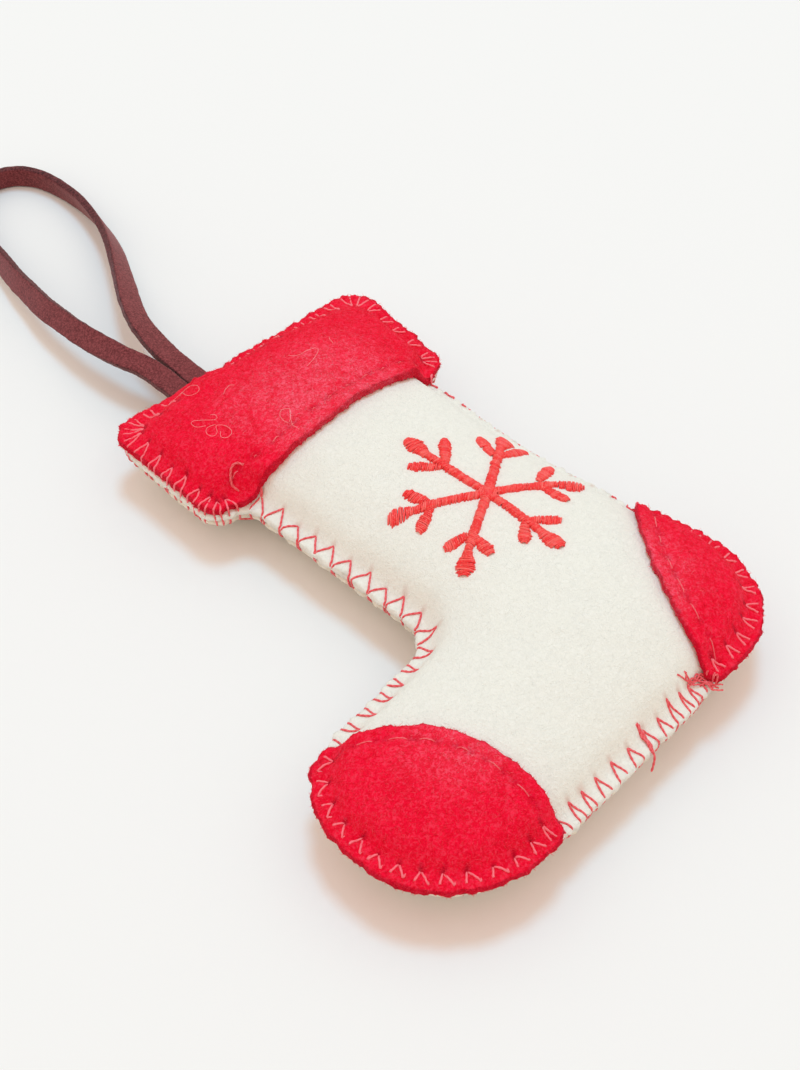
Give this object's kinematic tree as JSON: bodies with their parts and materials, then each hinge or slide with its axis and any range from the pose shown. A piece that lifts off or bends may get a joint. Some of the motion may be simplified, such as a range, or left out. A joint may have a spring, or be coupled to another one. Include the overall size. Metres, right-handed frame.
{
  "type": "felt christmas decoration",
  "caption": "Stuffed felt stocking ornament with red cuff, toe and heel, an embroidered snowflake, an overcast edge and a suede hanging loop, lying on its back.",
  "frame": {"origin": "on the surface that it lies on, under the middle of the stocking's own box, which leaves the hanging loop out", "axes": "+X towards the heel, +Y up the leg to the cuff and the hanging loop, +Z out of the embroidered front"},
  "size_m": [0.0822, 0.1797, 0.0195],
  "materials": {
    "white_felt": "matt pressed felt",
    "cream_felt": "matt pressed felt",
    "red_felt": "matt fuzzy felt",
    "fibre_fill": "loose polyester fibre",
    "flake_thread": "satin embroidery thread",
    "edge_thread": "sewing thread",
    "suede_lace": "matt suede"
  },
  "bodies": {
    "stocking": {"front_panel": "white_felt", "back_panel": "cream_felt", "stuffing": "fibre_fill", "cuff": "red_felt", "toe_patch": "red_felt", "heel_patch": "red_felt", "snowflake": "flake_thread", "overcast_thread": "edge_thread", "lace_end_left": "suede_lace", "lace_end_right": "suede_lace"},
    "loop": {"hanging_loop": "suede_lace"}
  },
  "joints": [
    {"name": "loop_swing", "type": "hinge", "parent": "stocking", "child": "loop", "pos_m": [0.0049, 0.0537, 0.0076], "axis": [1, 0, 0], "range_deg": [0, 90]}
  ]
}
